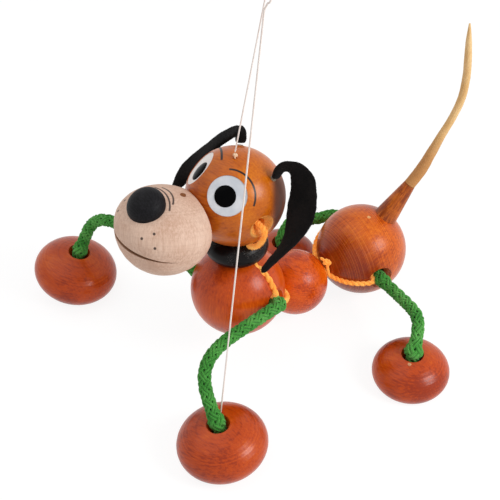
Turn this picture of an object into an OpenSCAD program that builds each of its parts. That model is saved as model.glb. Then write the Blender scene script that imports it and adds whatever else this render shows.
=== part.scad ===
// String-puppet dog of turned wooden balls on braided ropes, standing on four domed feet.
// The dog faces -Y, its left side is +X and the floor is z = 0. All sizes are in millimetres.

/* [Body balls] */
// Diameter of the chest ball
chest_d = 50; // [46:0.5:54]
// Diameter of the small ball in the middle of the back
mid_d = 36; // [34:0.5:38]
// Diameter of the rear ball
rear_d = 50; // [46:0.5:54]
// Running clearance between two balls that touch
ball_gap = 0.3; // [0.2:0.05:0.5]
// Height of the chest ball's centre over the floor
chest_height = 41.5; // [40:0.5:44]
// Downward slope of the back from the chest ball to the middle ball, in degrees
back_drop = 26; // [22:1:30]
// Upward slope from the middle ball to the rear ball, in degrees
back_rise = 7; // [3:1:11]

/* [Head] */
// Diameter of the head ball
head_d = 50.6; // [48:0.2:53]
// Distance from the chest ball's centre to the head ball's centre
neck_length = 60.4; // [59.5:0.2:61.5]
// Outer diameter of the neck collar
collar_d = 33; // [30:0.5:36]
// Height of the neck collar
collar_height = 13.5; // [12.5:0.25:14.5]
// Bore of the neck collar
collar_bore = 10; // [9:0.5:12]
// Diameter of the cross hole that the neck cord runs through
neck_hole_d = 6.6; // [6.2:0.2:7.4]
// Depth of the cross hole under the head's centre
neck_hole_drop = 4; // [3.5:0.25:4.5]

/* [Face] */
// Diameter of the white eye discs
eye_d = 20; // [18:0.5:21]
// Thickness of the white eye discs
eye_thickness = 1.5; // [1:0.25:2.5]
// Distance from the head's centre to the front of the eye discs
eye_seat = 22.9; // [22.4:0.1:23.2]
// Diameter of the black pupils
pupil_d = 10.8; // [9:0.2:13]
// Height of the black pupils
pupil_height = 1.2; // [0.8:0.1:2]
// Width of the turned muzzle
muzzle_d = 49.4; // [46:0.2:52]
// Height of the muzzle over its widest line
muzzle_upper = 16.7; // [15:0.1:19]
// Depth of the muzzle under its widest line
muzzle_lower = 25; // [22:0.5:27]
// Distance from the muzzle's centre to its flat back
muzzle_back = 15.2; // [14:0.2:17]
// Opening of the mouth's wedge at the front of the muzzle
mouth_cut = 2.3; // [1.5:0.1:3]
// Diameter of the nose
nose_d = 19.4; // [17:0.2:22]
// Height of the nose over its middle plane
nose_rise = 7.8; // [6.5:0.1:9]
// Diameter of the pin in the top of the muzzle
pin_d = 3; // [2:0.2:4]
// Thickness of the felt ears
ear_thickness = 3; // [2:0.2:3.6]
// Diameter of the pegs that carry the ears
ear_peg_d = 3.2; // [2.6:0.2:4]

/* [Ropes and cords] */
// Diameter of the braided leg ropes
rope_d = 7.2; // [6.4:0.1:7.6]
// Clearance round a leg rope in its holes
rope_gap = 0.4; // [0.3:0.05:0.6]
// Diameter of the twisted orange cords
cord_d = 2.6; // [2:0.1:2.8]
// Diameter of the puppet threads
thread_d = 0.8; // [0.6:0.1:1.2]
// Diameter of the knot on the back cord
back_knot_d = 4.4; // [3.6:0.1:4.6]
// Diameter of the thread knot on top of the head
head_knot_d = 3.2; // [2.6:0.2:4]
// Diameter of the plugged string holes
plug_d = 2; // [1.6:0.1:2.6]
// Width of a finger loop at the end of a thread
loop_d = 7; // [5:0.5:10]

/* [Feet] */
// Diameter of the front feet
front_foot_d = 46.6; // [44:0.2:48]
// Height of a front foot over its widest line
front_foot_rise = 15.2; // [14:0.2:16.5]
// Depth of a front foot under its widest line
front_foot_cut = 8; // [7:0.5:9]
// Diameter of the hind feet
hind_foot_d = 41.2; // [39:0.2:42]
// Height of a hind foot over its widest line
hind_foot_rise = 13.4; // [12.5:0.1:14.5]
// Depth of a hind foot under its widest line
hind_foot_cut = 7; // [6:0.5:8]
// Depth of the rope holes in the feet
foot_hole_depth = 13; // [12:0.5:15]

/* [Tail] */
// Diameter of the tail's wooden cone at the rear ball
cone_base_d = 13.4; // [11:0.2:16]
// Diameter of the cone at its ring line
cone_tip_d = 6.6; // [6.2:0.1:8]
// Distance from the rear ball's centre to the ring line
cone_reach = 47.4; // [44:0.2:50]

/* [Hidden] */

$fn = 64;
far = 80;
beyond = 10;
skin = 0.1;
left = 1;
right = -1;

chest_r = chest_d / 2;
mid_r = mid_d / 2;
rear_r = rear_d / 2;
head_r = head_d / 2;
cord_r = cord_d / 2;
thread_r = thread_d / 2;
rope_r = rope_d / 2;
rope_hole_r = rope_r + rope_gap;
rope_sink_spread = 3;
rope_sink_r = rope_hole_r + rope_sink_spread;
rope_sink_depth = 3;
foot_sink_spread = 2.2;
foot_sink_r = rope_hole_r + foot_sink_spread;
foot_sink_depth = 5;
rope_sides = 12;
cord_sides = 8;

// A compass direction from -Y towards +X, raised by an elevation
function toward(turn, lift) = [sin(turn) * cos(lift), -cos(turn) * cos(lift), sin(lift)];

// Places of the balls, with the whole part centred over the origin
chest_at = [8, -29.3, chest_height];
mid_way = toward(183.7, -back_drop);
rear_way = toward(176.3, back_rise);
mid_at = chest_at + (chest_r + ball_gap + mid_r) * mid_way;
rear_at = mid_at + (mid_r + ball_gap + rear_r) * rear_way;
neck_tilt = [-1.8, -4.4, 0];
neck_way = [sin(neck_tilt.y) * cos(neck_tilt.x), -sin(neck_tilt.x), cos(neck_tilt.y) * cos(neck_tilt.x)];
head_at = chest_at + neck_length * neck_way;

// Axes of the two cross holes that carry the leg ropes
front_axle = toward(112, 7);
rear_axle = toward(79.5, -2);

// Cord arcs: they start beside the rope in the sunk mouth of a leg hole
arc_gap = 0.3;
arc_start = asin((rope_hole_r + cord_r + arc_gap) / (chest_r + cord_r));
groove_gap = 0.1;
groove_run = 4;
arch_proud = 0.2;
arch_r = chest_r - cord_r + arch_proud;
bail_gap = ball_gap;
rear_bail_way = toward(-10.5, -6);

// Sunk mouths of the middle ball's hole, which hold the back cord and its knot
mid_hole_gap = 0.7;
mid_hole_r = cord_r + mid_hole_gap;
bend_room = 0.4;
pit_r = 8.2;
pit_floor_r = 4;
knot_offset = [0.5, 0.87];
knot_spread = 11;

// Head features
eye_turn = 45;
eye_lift = 40.5;
pupil_shift_left = [-1, -0.3];
pupil_shift_right = [2.4, 0.3];
muzzle_pitch = 11.4;
muzzle_drop = 7.2;
head_flat = head_r - 0.3;
mouth_level = -4.6;
mouth_lift = 1.7;
mouth_depth = 20.7;
pin_at = 8;
pin_length = 4;
pin_stub = 0.2;
nose_forward = 12.3;
nose_tilt = 37;
peg_turn = 130;
peg_lift = 40;
peg_depth = 6;
peg_stub = 0.6;
neck_sink = 3;
knot_shift = [0, 0.2, 0];

// Notches in the collar's top, under the neck cord's two sides
notch_drop = 29.2;
notch_lean = 65.6;
notch_gap = 0.35;
head_seat_gap = 0.5;
hub_wall = 3;

// Feet: centre on the floor plan, then the lean about X and Y
front_left_foot = [69.7, -78.3];
front_left_lean = [6, -4, 0];
front_right_foot = [-78.4, -83.6];
front_right_lean = [-11, 6.5, 0];
hind_left_foot = [81.1, 32.7];
hind_right_foot = [-27.2, 23.2];
level = [0, 0, 0];
foot_plug_at = [4.6, -5.6];
foot_thread_at = [-6, 5];
foot_plug_depth = 3;

// Routes of the leg ropes, from their ball's centre to the hole in the foot
front_left_route = [[1, 0.4, 0.1], [21.2, 8.6, 2.8], [25.3, 9, 4.3], [28, 5.8, 6.6], [30, 0.5, 8.3],
    [32, -8, 9.3], [34.4, -21, 9.7], [35.7, -29.7, 9.1], [37.1, -36.5, 7.6], [39.4, -42.5, 5.3],
    [42.9, -46.9, 1.9], [47.4, -49.4, -2.4], [52.1, -50.4, -7.3], [56.5, -50.6, -12.9],
    [59.9, -50.2, -18], [61.3, -49.5, -22.5], [61.5, -49.2, -27]];
front_right_route = [[-1, -0.4, -0.1], [-22.1, -8.9, -2.9], [-27.7, -13, 0.1], [-33.4, -16.9, 3],
    [-45.4, -24.3, 8.3], [-58.5, -31, 11.7], [-65.4, -34, 11.9], [-72.2, -36.7, 10.7],
    [-78.4, -39.3, 7.9], [-83.1, -41.7, 3.2], [-85.7, -44.2, -2.9], [-86.3, -47.3, -9.8],
    [-85.7, -50.3, -14.3], [-85.5, -52.2, -19], [-85.9, -53.5, -25.2]];
hind_left_route = [[1, -0.2, 0], [23.6, -4.4, -0.8], [41.8, -5.3, 0.6], [50.8, -6.2, 2],
    [55.2, -6.9, 2.7], [59.6, -8.1, 3.1], [63.5, -10, 2.7], [66.9, -12.6, 1.5], [69.7, -15.3, -0.7],
    [71.8, -17.8, -3.8], [72.8, -19.3, -8], [72.9, -19.7, -15]];
hind_right_route = [[-1, 0.2, 0], [-23.6, 4.4, 0.8], [-28, 4.6, 0.8], [-31, 3, 0.4],
    [-32.6, -0.5, 0], [-33.4, -5, 0.2], [-34.2, -10, 1.2], [-35.2, -15, 2.8], [-36, -19.5, 3.8],
    [-36.4, -23.5, 2.8], [-36.2, -26.6, 0], [-35.8, -28.5, -4], [-35.5, -29.2, -8.5],
    [-35.4, -29.2, -15]];

// Route of the neck cord in the head's own frame: collar bore, round the head, cross hole
neck_side = [[2.4, 0, -33], [2.6, 0, -30], [4.2, 0, -27.9], [6.4, 0, -26.7], [9.8, 0, -25.3],
    [14.2, 0, -23.2], [18.7, 0, -19.9], [22.7, 0, -15.1], [25.2, 0, -11], [26.4, 0, -8],
    [26.8, 0, -5.9], [26, 0, -4.6], [24.3, 0, -4.1], [22, 0, -4.1], [14, 0, -4.1]];

// Ear strips in the head's frame: middle of each section, its half width and the way it spreads
near_ear_line = [[[16, 13.4, 17.8], 2.5, [0.2, -0.9, 0.4]], [[16.4, 14, 19.6], 2.9, [0.2, -0.9, 0.4]],
    [[17, 15, 22.2], 3.4, [0, -0.9, 0.5]], [[19.3, 17.3, 24.6], 4.1, [0, -0.5, 0.9]],
    [[23.2, 20, 24], 5.1, [0.4, 0.3, 0.9]], [[26.7, 21.5, 20.1], 6.2, [0.6, 0.6, 0.5]],
    [[29.3, 20.7, 14.4], 6.9, [0.8, 0.5, 0.2]], [[31.7, 18.4, 8.6], 7.4, [0.8, 0.5, 0.1]],
    [[34.4, 15.2, 3.5], 7.4, [0.9, 0.4, 0.15]], [[36.7, 11.1, -0.9], 6.6, [0.9, 0.2, 0.3]],
    [[38.6, 6.1, -4.6], 5.4, [0.9, 0, 0.4]], [[39.7, 0.4, -7.6], 4.1, [0.9, -0.1, 0.5]],
    [[40.4, -5.5, -10.5], 2.7, [0.9, -0.1, 0.4]], [[41.1, -11.2, -13.7], 1.1, [0.9, -0.1, 0.4]]];
// The far ear hangs lower, closer to the head
far_ear_line = [[[16, 13.4, 17.8], 2.5, [-0.2, 0.9, -0.4]], [[16.4, 14, 19.6], 2.9, [-0.2, 0.9, -0.4]],
    [[17.6, 14.6, 21.2], 3.2, [0, 0.9, -0.2]], [[20.6, 15.4, 20.4], 3.5, [0.1, 0.9, 0.3]],
    [[25, 15.6, 17], 4.2, [0.6, 0.7, 0]], [[29, 15, 13.2], 5, [0.8, 0.5, -0.2]],
    [[32.2, 13, 9.4], 5.8, [0.8, 0.5, -0.2]], [[34.8, 10.6, 5.6], 6.6, [0.8, 0.5, -0.2]],
    [[37, 7.6, 1.4], 7.2, [0.8, 0.5, -0.2]], [[38.8, 4.2, -2.6], 7.4, [0.8, 0.4, -0.2]],
    [[40.2, 0.6, -6.6], 6.8, [0.8, 0.3, -0.1]], [[41, -3.2, -10.4], 5.6, [0.9, 0.2, 0.1]],
    [[41.4, -6.8, -14.4], 4.2, [0.9, 0, 0.2]], [[41.6, -10.4, -19], 2.7, [0.9, 0, 0.2]],
    [[41.6, -14, -24], 1.1, [0.9, 0, 0.2]]];

// Tail whip from the ring line, in the rear ball's frame, with the radius at each point
tail_way = toward(168, 56);
cone_seat = 2;
rear_plug_depth = 4;
rear_plug_turn = 126;
rear_plug_lift = 83;
whip_line = [[tail_way * (cone_reach + skin), 3.2], [[6.9, 32.3, 48.8], 3.2], [[7.8, 36.6, 57.7], 2.8],
    [[8.8, 41.5, 68.4], 2.3], [[10, 47, 79.7], 2.1], [[10.8, 50.7, 91.2], 2.1],
    [[11, 51.7, 103.1], 2.1], [[10.9, 51.2, 115.2], 2], [[10.7, 50.2, 127], 1.6],
    [[10.5, 49.4, 137.4], 0.5]];

// Threads: the way each one rises, and its height over its start
head_thread_way = [0.102, 0.122, 1];
head_thread_rise = 92;
foot_thread_way = [0.051, 0.067, 1];
foot_thread_rise = 244;
thread_depth = 3;
thread_hole_gap = 0.4;
loop_open = 30;

// Vectors and the frames carried along a route
function unit(v) = v / norm(v);
function square_to(v, way) = unit(v - (v * way) * way);
function heading(p, i) = unit(p[min(i + 1, len(p) - 1)] - p[max(i - 1, 0)]);
function carried(p, i, start) =
    square_to(i == 0 ? start : carried(p, i - 1, start), heading(p, i));
function at(list, i) = is_list(list) ? list[i] : list;

// A quarter or less of an oval outline, as points from one angle to another
function oval(r, h, from, to, steps) =
    [for (i = [0:steps]) let (a = from + (to - from) * i / steps) [r * cos(a), h * sin(a)]];

// A closed solid through equal rings of points
module skin_rings(rings) {
    n = len(rings[0]);
    last = len(rings) - 1;
    sides = [for (i = [0:last - 1]) for (j = [0:n - 1])
        let (a = i * n + j, b = i * n + (j + 1) % n)
        each [[a, a + n, b + n], [a, b + n, b]]];
    ends = [[for (j = [0:n - 1]) j], [for (j = [0:n - 1]) last * n + n - 1 - j]];
    polyhedron(points = [for (ring = rings) each ring], faces = concat(sides, ends));
}

// A round tube along a route, of one radius or a radius at each point
module tube(p, r, start, n) {
    skin_rings([for (i = [0:len(p) - 1])
        let (u = carried(p, i, start), v = cross(heading(p, i), u))
        [for (j = [0:n - 1]) p[i] + at(r, i) * (cos(360 * j / n) * u + sin(360 * j / n) * v)]]);
}

// A flat strip with softened edges along a line of sections
module strip(line, thickness) {
    p = [for (s = line) s[0]];
    skin_rings([for (i = [0:len(line) - 1])
        let (w = line[i][1], u = square_to(line[i][2], heading(p, i)), v = cross(heading(p, i), u))
        let (edge = min(1, w / 2), half = thickness / 2, blunt = 0.35)
        [for (c = [[w, blunt], [w - edge, 1], [edge - w, 1], [-w, blunt],
            [-w, -blunt], [edge - w, -1], [w - edge, -1], [w, -blunt]])
            p[i] + c.x * u + c.y * half * v]]);
}

// Turns +Z to a compass direction and elevation
module facing(turn, lift) {
    rotate([90 - lift, 0, turn]) children();
}

// Puts +X along one direction and +Y in the plane of another
module in_plane(origin, along, beside) {
    x = unit(along);
    y = square_to(beside, x);
    z = cross(x, y);
    multmatrix([[x.x, y.x, z.x, origin.x], [x.y, y.y, z.y, origin.y], [x.z, y.z, z.z, origin.z]])
        children();
}

// An arc of round cord about the origin, the same distance short of both ends of a half turn
module arc(r, thick, from) {
    rotate([0, 0, from])
        rotate_extrude(angle = 180 - 2 * from) translate([r, 0]) circle(thick, $fn = 24);
}

// A cross hole with a sunk mouth at each end, along X through a ball's centre
module cross_hole(ball_r, hole_r, sink_r, sink) {
    mouth = sqrt(ball_r * ball_r - sink_r * sink_r);
    wide = hole_r + (sink_r - hole_r) * (sink + beyond) / sink;
    rotate([0, 90, 0]) cylinder(h = 2 * far, r = hole_r, center = true);
    for (side = [left, right])
        rotate([0, side * 90, 0]) translate([0, 0, mouth - sink])
            cylinder(h = sink + beyond, r1 = hole_r, r2 = wide);
}

module chest_ball() {
    color([0.78, 0.33, 0.08])
    difference() {
        translate(chest_at) sphere(chest_r);
        in_plane(chest_at, front_axle, neck_way) {
            cross_hole(chest_r, rope_hole_r, rope_sink_r, rope_sink_depth);
            arc(arch_r, cord_r + groove_gap, arc_start - groove_run);
        }
    }
}

module chest_cord() {
    color([0.95, 0.55, 0.2])
    in_plane(chest_at, front_axle, neck_way) arc(arch_r, cord_r, arc_start);
}

module collar() {
    round_r = collar_height / 2;
    color([0.05, 0.05, 0.05])
    translate(chest_at) rotate(neck_tilt)
    difference() {
        union() {
            translate([0, 0, neck_length / 2]) rotate_extrude() {
                translate([collar_d / 2 - round_r, 0]) circle(round_r, $fn = 48);
                translate([collar_bore / 2, -round_r])
                    square([collar_d / 2 - round_r - collar_bore / 2, collar_height]);
            }
            cylinder(h = neck_length, r = collar_bore / 2 + hub_wall);
        }
        cylinder(h = neck_length, r = collar_bore / 2);
        sphere(chest_r + ball_gap);
        translate([0, 0, neck_length]) sphere(head_r + head_seat_gap);
        for (side = [left, right])
            translate([side, 0, neck_length - notch_drop]) rotate([0, side * notch_lean, 0])
                cylinder(h = far / 2, r = cord_r + notch_gap);
    }
}

module neck_cord() {
    back = [for (i = [len(neck_side) - 1:-1:0]) [-neck_side[i].x, 0, neck_side[i].z]];
    color([0.95, 0.55, 0.2])
    translate(head_at) rotate(neck_tilt)
        tube(concat(neck_side, back), cord_r, [0, 1, 0], cord_sides);
}

module head_ball() {
    color([0.8, 0.45, 0.12])
    translate(head_at)
    difference() {
        rotate(neck_tilt) rotate([0, 90, 0]) sphere(head_r);
        rotate(neck_tilt) translate([0, 0, -neck_hole_drop])
            cross_hole(head_r, neck_hole_d / 2, neck_hole_d / 2 + neck_sink, neck_sink);
        for (side = [left, right]) {
            facing(side * eye_turn, eye_lift)
                translate([0, 0, eye_seat - eye_thickness]) cylinder(h = far, r = eye_d / 2);
            facing(side * peg_turn, peg_lift)
                translate([0, 0, head_r - peg_depth]) cylinder(h = far, r = ear_peg_d / 2);
        }
        rotate([-muzzle_pitch, 0, 0]) translate([-far / 2, -head_flat - far, -far / 2]) cube(far);
    }
}

module eye(side) {
    color([0.9, 0.9, 0.92])
    translate(head_at) facing(side * eye_turn, eye_lift)
        translate([0, 0, eye_seat - eye_thickness]) cylinder(h = eye_thickness, r = eye_d / 2 - skin);
}

module pupil(side, shift) {
    color([0.03, 0.03, 0.03])
    translate(head_at) facing(side * eye_turn, eye_lift)
        translate([shift.x, shift.y, eye_seat])
            rotate_extrude() polygon(concat([[0, 0]], oval(pupil_d / 2, pupil_height, 0, 90, 6)));
}

// Puts children in the muzzle's frame: its centre, with -Y forward along the pitched snout
module in_muzzle() {
    translate(head_at) rotate([-muzzle_pitch, 0, 0])
        translate([0, -head_flat - muzzle_back, -muzzle_drop]) children();
}

module muzzle_bun() {
    rotate_extrude() polygon(concat(oval(muzzle_d / 2, muzzle_lower, -90, 0, 10),
        oval(muzzle_d / 2, muzzle_upper, 9, 90, 9)));
}

// Side of the mouth: open at the front, and closed where it runs out in the cheeks
module mouth_wedge() {
    front = -muzzle_d / 2;
    top = mouth_level + mouth_lift;
    polygon([[front + mouth_depth, mouth_level], [front, top], [front, top - mouth_cut]]);
}

module muzzle() {
    color([0.85, 0.72, 0.6])
    in_muzzle() difference() {
        muzzle_bun();
        translate([-far / 2, muzzle_back, -far / 2]) cube(far);
        rotate([90, 0, 90]) linear_extrude(far, center = true) mouth_wedge();
        pin_place() cylinder(h = far, r = pin_d / 2);
    }
}

module pin_place() {
    top = muzzle_upper * sqrt(1 - pow(2 * pin_at / muzzle_d, 2));
    translate([0, pin_at, top - pin_length]) children();
}

module muzzle_pin() {
    color([0.5, 0.27, 0.12])
    in_muzzle() pin_place() cylinder(h = pin_length + pin_stub, r = pin_d / 2);
}

module nose() {
    top = muzzle_upper * sqrt(1 - pow(2 * nose_forward / muzzle_d, 2));
    color([0.08, 0.07, 0.07])
    in_muzzle() difference() {
        translate([0, -nose_forward, top]) rotate([nose_tilt, 0, 0])
            rotate_extrude() polygon(oval(nose_d / 2, nose_rise, -90, 90, 18));
        muzzle_bun();
    }
}

module ear_peg(side) {
    color([0.6, 0.55, 0.48])
    translate(head_at) facing(side * peg_turn, peg_lift)
        translate([0, 0, head_r - peg_depth]) cylinder(h = peg_depth + peg_stub, r = ear_peg_d / 2);
}

module ear(side, line) {
    color([0.07, 0.07, 0.07])
    translate(head_at) mirror([side == left ? 0 : 1, 0, 0]) strip(line, ear_thickness);
}

module head_knot() {
    color([0.9, 0.82, 0.76])
    translate(head_at + knot_shift + [0, 0, head_r + head_knot_d / 2 + skin / 2]) sphere(head_knot_d / 2);
}

// A straight thread that ends in a finger loop
module thread(way, rise) {
    rise_way = unit(way);
    out = square_to([1, 0, 0], rise_way);
    top = rise_way * rise;
    loop_r = loop_d / 2;
    turns = [for (a = [loop_open - 90:30:270 - loop_open])
        top + loop_r * (1 + sin(a)) * rise_way + loop_r * cos(a) * out];
    tube(concat([[0, 0, 0], 0.5 * top, top - loop_r * rise_way], turns), thread_r, [0, 1, 0], cord_sides);
}

module thread_head() {
    color([0.95, 0.86, 0.82])
    translate(head_at + knot_shift + [0, 0, head_r + head_knot_d + skin])
        thread(head_thread_way, head_thread_rise);
}

module mid_ball() {
    color([0.8, 0.36, 0.1])
    difference() {
        in_plane(mid_at, rear_way, [0, 0, 1]) rotate([0, 90, 0]) sphere(mid_r);
        for (way = [-mid_way, rear_way])
            in_plane(mid_at, way, [0, 0, 1]) rotate([0, 90, 0]) {
                cylinder(h = far, r = mid_hole_r);
                translate([0, 0, sqrt(mid_r * mid_r - pit_r * pit_r) - (pit_r - pit_floor_r)])
                    cylinder(h = beyond, r1 = pit_floor_r, r2 = pit_floor_r + beyond);
            }
        translate(mid_at) sphere(mid_hole_r + bend_room);
    }
}

module back_cord_front() {
    color([0.95, 0.55, 0.2])
    in_plane(chest_at, front_axle, mid_way) arc(chest_r + bail_gap + cord_r, cord_r, arc_start);
}

module back_link() {
    reach = mid_r - bail_gap - cord_d - skin;
    color([0.95, 0.55, 0.2])
    union() {
        for (way = [-mid_way, rear_way])
            in_plane(mid_at, way, [0, 0, 1]) rotate([0, 90, 0]) cylinder(h = reach, r = cord_r);
        translate(mid_at) sphere(cord_r + bend_room / 2);
    }
}

module back_cord_rear() {
    color([0.95, 0.55, 0.2])
    in_plane(rear_at, rear_axle, rear_bail_way)
        arc(rear_r + bail_gap + cord_r, cord_r, arc_start);
}

module back_knot() {
    knot_r = back_knot_d / 2;
    reach = rear_r + ball_gap + knot_r;
    drop = mid_r + ball_gap + rear_r - sqrt(reach * reach - knot_spread * knot_spread);
    side_way = square_to([1, 0, 0], rear_way);
    up_way = cross(side_way, rear_way);
    color([0.95, 0.62, 0.3])
    difference() {
        translate(mid_at + drop * rear_way
            + knot_spread * (knot_offset.x * side_way + knot_offset.y * up_way)) sphere(knot_r);
        in_plane(rear_at, rear_axle, rear_bail_way)
            arc(rear_r + bail_gap + cord_r, cord_r + skin, arc_start);
    }
}

module rear_ball() {
    color([0.78, 0.33, 0.09])
    difference() {
        translate(rear_at) sphere(rear_r);
        in_plane(rear_at, rear_axle, [0, 0, 1])
            cross_hole(rear_r, rope_hole_r, rope_sink_r, rope_sink_depth);
        rear_plug_place() cylinder(h = far, r = plug_d / 2);
    }
}

module rear_plug_place() {
    translate(rear_at) facing(rear_plug_turn, rear_plug_lift)
        translate([0, 0, rear_r - rear_plug_depth]) children();
}

module rear_plug() {
    color([0.9, 0.66, 0.42])
    rear_plug_place() cylinder(h = rear_plug_depth, r = plug_d / 2);
}

module tail_cone() {
    color([0.68, 0.3, 0.1])
    difference() {
        in_plane(rear_at, tail_way, [0, 0, 1]) rotate([0, 90, 0]) translate([0, 0, rear_r - cone_seat])
            cylinder(h = cone_reach - rear_r + cone_seat, r1 = cone_base_d / 2, r2 = cone_tip_d / 2);
        translate(rear_at) sphere(rear_r);
    }
}

module tail_whip() {
    color([0.8, 0.62, 0.35])
    translate(rear_at)
        tube([for (s = whip_line) s[0]], [for (s = whip_line) s[1]], [1, 0, 0], rope_sides);
}

module rope(origin, route) {
    color([0.15, 0.55, 0.2])
    translate(origin) tube(route, rope_r, [0, 0.1, 1], rope_sides);
}

// Puts children at a foot's widest line, with the lowest point of its rim on the floor
module on_foot(place, lean, d, rise, cut) {
    tip = acos(cos(lean.x) * cos(lean.y));
    rim = d / 2 * sqrt(1 - pow(cut / rise, 2));
    translate([place.x, place.y, cut * cos(tip) + rim * sin(tip)]) rotate(lean) children();
}

module foot(d, rise, cut) {
    difference() {
        rotate_extrude()
            polygon(concat([[0, -cut]], oval(d / 2, rise, -asin(cut / rise), 0, 5),
                oval(d / 2, rise, 7.5, 90, 11)));
        translate([0, 0, rise - foot_hole_depth]) cylinder(h = far, r = rope_hole_r);
        translate([0, 0, rise - foot_sink_depth])
            cylinder(h = 2 * foot_sink_depth, r1 = rope_hole_r, r2 = 2 * foot_sink_r - rope_hole_r);
    }
}

module front_left_frame() {
    on_foot(front_left_foot, front_left_lean, front_foot_d, front_foot_rise, front_foot_cut)
        children();
}

// Height of a foot's surface over its widest line, at a place on its plan
function foot_top(place, d, rise) = rise * sqrt(1 - pow(2 * norm(place) / d, 2));

module thread_place() {
    top = foot_top(foot_thread_at, front_foot_d, front_foot_rise);
    translate([foot_thread_at.x, foot_thread_at.y, top])
        rotate([0, -front_left_lean.y, 0]) rotate([-front_left_lean.x, 0, 0]) children();
}

module foot_front_left() {
    color([0.7, 0.28, 0.13])
    front_left_frame() difference() {
        foot(front_foot_d, front_foot_rise, front_foot_cut);
        thread_place() translate([0, 0, -thread_depth - skin])
            cylinder(h = beyond, r = thread_r + thread_hole_gap);
    }
}

module thread_foot() {
    color([0.95, 0.86, 0.82])
    front_left_frame() thread_place() translate([0, 0, -thread_depth])
        thread(foot_thread_way, foot_thread_rise);
}

module foot_front_right() {
    color([0.7, 0.28, 0.13])
    on_foot(front_right_foot, front_right_lean, front_foot_d, front_foot_rise, front_foot_cut)
        foot(front_foot_d, front_foot_rise, front_foot_cut);
}

module foot_plug_place() {
    top = foot_top(foot_plug_at, hind_foot_d, hind_foot_rise);
    translate([foot_plug_at.x, foot_plug_at.y, top - foot_plug_depth]) children();
}

module foot_hind_left() {
    color([0.7, 0.28, 0.13])
    on_foot(hind_left_foot, level, hind_foot_d, hind_foot_rise, hind_foot_cut) difference() {
        foot(hind_foot_d, hind_foot_rise, hind_foot_cut);
        foot_plug_place() cylinder(h = far, r = plug_d / 2);
    }
}

module foot_plug() {
    color([0.85, 0.6, 0.4])
    on_foot(hind_left_foot, level, hind_foot_d, hind_foot_rise, hind_foot_cut)
        foot_plug_place() cylinder(h = foot_plug_depth, r = plug_d / 2);
}

module foot_hind_right() {
    color([0.66, 0.26, 0.12])
    on_foot(hind_right_foot, level, hind_foot_d, hind_foot_rise, hind_foot_cut)
        foot(hind_foot_d, hind_foot_rise, hind_foot_cut);
}

chest_ball();
chest_cord();
collar();
neck_cord();
head_ball();
eye(left);  // eye_left
eye(right);  // eye_right
pupil(left, pupil_shift_left);  // pupil_left
pupil(right, pupil_shift_right);  // pupil_right
muzzle();
muzzle_pin();
nose();
ear_peg(left);  // ear_peg_left
ear_peg(right);  // ear_peg_right
ear(left, near_ear_line);  // ear_left
ear(right, far_ear_line);  // ear_right
head_knot();
thread_head();
mid_ball();
back_cord_front();
back_link();
back_cord_rear();
back_knot();
rear_ball();
tail_cone();
tail_whip();
rear_plug();
rope(chest_at, front_left_route);  // rope_front_left
rope(chest_at, front_right_route);  // rope_front_right
rope(rear_at, hind_left_route);  // rope_hind_left
rope(rear_at, hind_right_route);  // rope_hind_right
foot_front_left();
foot_front_right();
foot_hind_left();
foot_hind_right();
foot_plug();
thread_foot();
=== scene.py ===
"""Looks of a string-puppet dog: turned wooden balls on braided ropes, felt ears and a whip tail.

The dog faces -Y and stands on z = 0. Places are given in millimetres and made in metres.
"""

import math
import random

import bpy
import numpy as np
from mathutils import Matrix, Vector


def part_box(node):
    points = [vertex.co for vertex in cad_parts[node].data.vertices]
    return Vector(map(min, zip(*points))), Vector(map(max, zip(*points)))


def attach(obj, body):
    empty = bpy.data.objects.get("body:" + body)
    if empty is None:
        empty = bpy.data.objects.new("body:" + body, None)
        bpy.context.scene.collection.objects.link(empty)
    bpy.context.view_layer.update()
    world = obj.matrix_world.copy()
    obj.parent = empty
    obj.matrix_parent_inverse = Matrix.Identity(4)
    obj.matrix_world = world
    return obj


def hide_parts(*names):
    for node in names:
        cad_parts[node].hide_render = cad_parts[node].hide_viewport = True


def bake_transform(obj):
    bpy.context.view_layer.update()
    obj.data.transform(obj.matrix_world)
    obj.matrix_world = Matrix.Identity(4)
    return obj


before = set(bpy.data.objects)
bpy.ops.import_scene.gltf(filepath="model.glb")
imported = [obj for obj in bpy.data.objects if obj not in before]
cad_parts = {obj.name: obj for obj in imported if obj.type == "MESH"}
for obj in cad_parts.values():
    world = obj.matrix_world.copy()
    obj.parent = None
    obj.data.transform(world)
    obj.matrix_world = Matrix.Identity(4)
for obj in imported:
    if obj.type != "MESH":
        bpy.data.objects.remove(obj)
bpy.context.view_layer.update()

MM = 0.001
LEFT, RIGHT = 1, -1
# The photograph's viewpoint, in metres, and the lens in millimetres
CAMERA_EYE, CAMERA_TARGET = (0.4160, -0.2866, 0.5299), (-0.0315, 0.004, 0.020)
SENSOR, LENS = 36, 93.4
# Name, direction, distance, width and power of each lamp, and the spot that they look at
LAMPS = (
    ("side_lamp", (0.705, 0.412, 0.572), 0.9, 0.42, 4.2),
    ("top_lamp", (-0.3, -0.35, 0.89), 1.0, 1.2, 2.0),
)
LAMPS_AIM = (0, 0, 0.05)
# Strength of the pale surround as a light
SURROUND = 0.5
# Half the floor's side in metres, the share of glow in what is seen of it, and the glow's strength
FLOOR_HALF = 4
FLOOR_GLOW = 0.8
GLOW_STRENGTH = 1.1

# Directions and places, as in the part's source


def toward(turn, lift):
    """A compass direction from -Y towards +X, raised by an elevation."""
    turn, lift = math.radians(turn), math.radians(lift)
    return np.array(
        (math.sin(turn) * math.cos(lift), -math.cos(turn) * math.cos(lift), math.sin(lift))
    )


def unit(v):
    v = np.asarray(v, float)
    return v / np.linalg.norm(v)


def square_to(v, way):
    """The part of v that lies square to way, as a unit vector."""
    way = unit(way)
    return unit(np.asarray(v, float) - np.dot(v, way) * way)


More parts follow.
